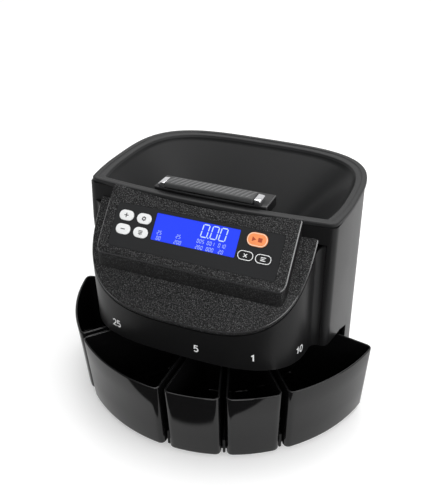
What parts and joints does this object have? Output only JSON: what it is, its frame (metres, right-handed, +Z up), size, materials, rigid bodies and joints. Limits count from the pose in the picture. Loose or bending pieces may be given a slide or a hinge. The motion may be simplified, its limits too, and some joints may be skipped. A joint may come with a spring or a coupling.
{
  "type": "coin sorting machine",
  "caption": "Counter-top coin sorter: open hopper with a carry handle, sloped console with display and keys, and slide-out coin cups in an arc under a round-cornered drum.",
  "frame": {"origin": "centre of the object's box, at the bottom of its feet", "axes": "+Z up, the console and the cups face -Y, +X to the right seen from the front"},
  "size_m": [0.3462, 0.2848, 0.2437],
  "materials": {
    "housing_black": "semi-gloss, smooth",
    "textured_black": "fine moulded grain",
    "cup_black": "high gloss",
    "hopper_grey": "satin",
    "overlay_black": "glossy film",
    "display_blue": "lit display window",
    "key_white": "satin",
    "key_orange": "satin",
    "key_black": "satin",
    "rubber": "matte",
    "chrome": "polished",
    "steel": "brushed",
    "aluminium": "satin",
    "bronze": "satin",
    "board_green": "solder mask",
    "nylon": "satin"
  },
  "bodies": {
    "machine": {"base_tray": "housing_black", "body_housing": "housing_black", "drum_wall": "housing_black", "sorter_cover": "textured_black", "console_housing": "textured_black", "control_overlay": "overlay_black", "display_window": "display_blue", "display_module": "steel", "control_board": "board_green", "hopper": "hopper_grey", "handle_platform": "housing_black", "handle_cap_left": "chrome", "handle_cap_right": "chrome", "foot_front_left": "rubber", "foot_front_right": "rubber", "foot_back_left": "rubber", "foot_back_right": "rubber", "deck_plate": "aluminium", "sorting_plate": "aluminium", "guide_ring": "nylon", "post_front_left": "aluminium", "post_front_right": "aluminium", "post_back_left": "aluminium", "post_back_right": "aluminium", "lower_bearing": "bronze", "upper_bearing": "bronze", "drive_belt": "rubber", "main_motor": "steel", "feed_belt": "rubber", "feed_plate_left": "aluminium", "feed_plate_right": "aluminium", "feed_motor": "steel", "coin_sensor": "textured_black", "main_board": "board_green", "transformer": "steel", "inlet_panel": "aluminium", "power_inlet": "textured_black", "switch_frame": "textured_black", "fuse_holder": "textured_black"},
    "rotor": {"sorting_rotor": "nylon", "spindle": "steel", "spindle_pulley": "nylon"},
    "motor_pulley": {"motor_pulley": "nylon"},
    "feed_front": {"feed_roller_front": "rubber"},
    "feed_back": {"feed_roller_back": "rubber"},
    "dollar_cup": {"dollar_cup": "cup_black"},
    "quarter_cup": {"quarter_cup": "cup_black"},
    "nickel_cup": {"nickel_cup": "cup_black"},
    "penny_cup": {"penny_cup": "cup_black"},
    "dime_cup": {"dime_cup": "cup_black"},
    "key_plus": {"key_plus": "key_white"},
    "key_set": {"key_set": "key_white"},
    "key_minus": {"key_minus": "key_white"},
    "key_batch": {"key_batch": "key_white"},
    "key_start_stop": {"key_start_stop": "key_orange"},
    "key_clear": {"key_clear": "key_black"},
    "key_report": {"key_report": "key_black"},
    "handle": {"handle_grip": "rubber", "handle_strap": "steel"},
    "power_rocker": {"switch_rocker": "key_black"}
  },
  "joints": [
    {"name": "rotor_spin", "type": "hinge", "parent": "machine", "child": "rotor", "pos_m": [0, 0.013, 0.1], "axis": [0, 0, 1], "continuous": true},
    {"name": "motor_spin", "type": "hinge", "parent": "machine", "child": "motor_pulley", "pos_m": [0, 0.077, 0.067], "axis": [0, 0, 1], "continuous": true},
    {"name": "feed_back_spin", "type": "hinge", "parent": "machine", "child": "feed_back", "pos_m": [0, 0.041, 0.143], "axis": [1, 0, 0], "continuous": true},
    {"name": "feed_front_spin", "type": "hinge", "parent": "machine", "child": "feed_front", "pos_m": [0, -0.007, 0.143], "axis": [1, 0, 0], "continuous": true},
    {"name": "dollar_cup_slide", "type": "slide", "parent": "machine", "child": "dollar_cup", "axis": [-0.8678, -0.497, 0], "range_m": [0, 0.09]},
    {"name": "quarter_cup_slide", "type": "slide", "parent": "machine", "child": "quarter_cup", "axis": [-0.3428, -0.9394, 0], "range_m": [0, 0.09]},
    {"name": "nickel_cup_slide", "type": "slide", "parent": "machine", "child": "nickel_cup", "axis": [0.1797, -0.9837, 0], "range_m": [0, 0.09]},
    {"name": "penny_cup_slide", "type": "slide", "parent": "machine", "child": "penny_cup", "axis": [0.5053, -0.863, 0], "range_m": [0, 0.09]},
    {"name": "dime_cup_slide", "type": "slide", "parent": "machine", "child": "dime_cup", "axis": [0.8673, -0.4977, 0], "range_m": [0, 0.09]},
    {"name": "key_plus_press", "type": "slide", "parent": "machine", "child": "key_plus", "axis": [0, 0.7611, -0.6486], "range_m": [0, 0.0008], "stiffness_N_per_m": 400, "springref_m": -0.0005},
    {"name": "key_set_press", "type": "slide", "parent": "machine", "child": "key_set", "axis": [0, 0.7611, -0.6486], "range_m": [0, 0.0008], "stiffness_N_per_m": 400, "springref_m": -0.0005},
    {"name": "key_minus_press", "type": "slide", "parent": "machine", "child": "key_minus", "axis": [0, 0.7611, -0.6486], "range_m": [0, 0.0008], "stiffness_N_per_m": 400, "springref_m": -0.0005},
    {"name": "key_batch_press", "type": "slide", "parent": "machine", "child": "key_batch", "axis": [0, 0.7611, -0.6486], "range_m": [0, 0.0008], "stiffness_N_per_m": 400, "springref_m": -0.0005},
    {"name": "key_start_stop_press", "type": "slide", "parent": "machine", "child": "key_start_stop", "axis": [0, 0.7611, -0.6486], "range_m": [0, 0.0008], "stiffness_N_per_m": 400, "springref_m": -0.0005},
    {"name": "key_clear_press", "type": "slide", "parent": "machine", "child": "key_clear", "axis": [0, 0.7611, -0.6486], "range_m": [0, 0.0008], "stiffness_N_per_m": 400, "springref_m": -0.0005},
    {"name": "key_report_press", "type": "slide", "parent": "machine", "child": "key_report", "axis": [0, 0.7611, -0.6486], "range_m": [0, 0.0008], "stiffness_N_per_m": 400, "springref_m": -0.0005},
    {"name": "handle_lift", "type": "slide", "parent": "machine", "child": "handle", "axis": [0, 0, 1], "range_m": [0, 0.002]},
    {"name": "power_rock", "type": "hinge", "parent": "machine", "child": "power_rocker", "pos_m": [-0.0115, 0.133, 0.041], "axis": [1, 0, 0], "range_deg": [0, 16]}
  ],
  "couplings": [
    {"joint": "motor_spin", "follows": "rotor_spin", "ratio": 3.2727},
    {"joint": "feed_front_spin", "follows": "feed_back_spin", "ratio": 1}
  ]
}
